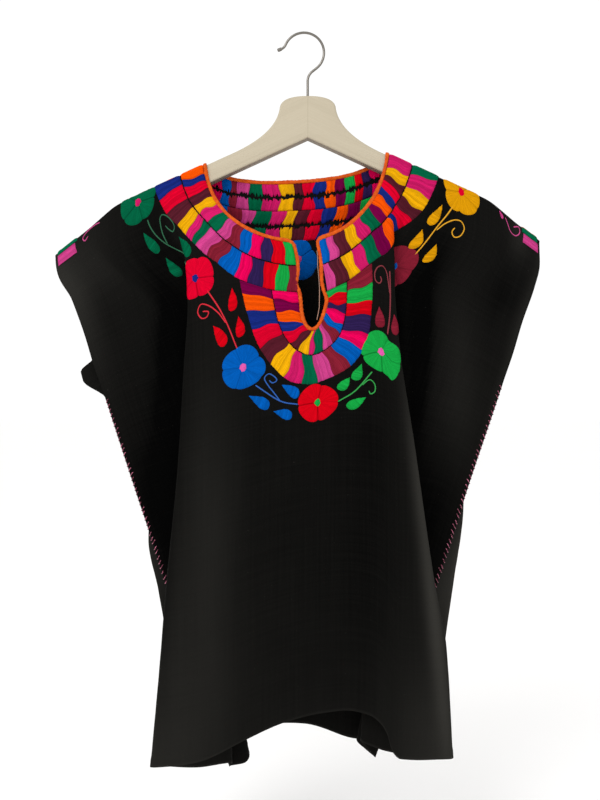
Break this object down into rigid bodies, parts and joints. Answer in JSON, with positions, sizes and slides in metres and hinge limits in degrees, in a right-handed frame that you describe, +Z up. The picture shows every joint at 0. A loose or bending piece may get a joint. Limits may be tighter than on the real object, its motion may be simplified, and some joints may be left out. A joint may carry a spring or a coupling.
{
  "type": "huipil blouse on a wooden hanger",
  "caption": "Square-cut cotton huipil with a round slit neck, open sleeves and deep side folds, hanging on a humped wooden hanger with a wire hook.",
  "frame": {"origin": "underside of the hook's top, where a rail carries it, in the middle of the hanger's thickness", "axes": "+Z up, +Y from the front of the blouse to its back, +X from the wearer's right to the wearer's left"},
  "size_m": [0.5697, 0.1129, 0.8669],
  "materials": {
    "cotton": "matte black cotton with bright thread embroidery",
    "neck_edging": "matte orange whipped thread",
    "hanger_wood": "matte whitewashed",
    "hook_wire": "bright plated wire"
  },
  "bodies": {
    "root": {"front": "cotton", "back": "cotton", "neck_edge_front": "neck_edging", "neck_edge_back": "neck_edging", "hanger": "hanger_wood", "hook": "hook_wire"}
  },
  "joints": []
}
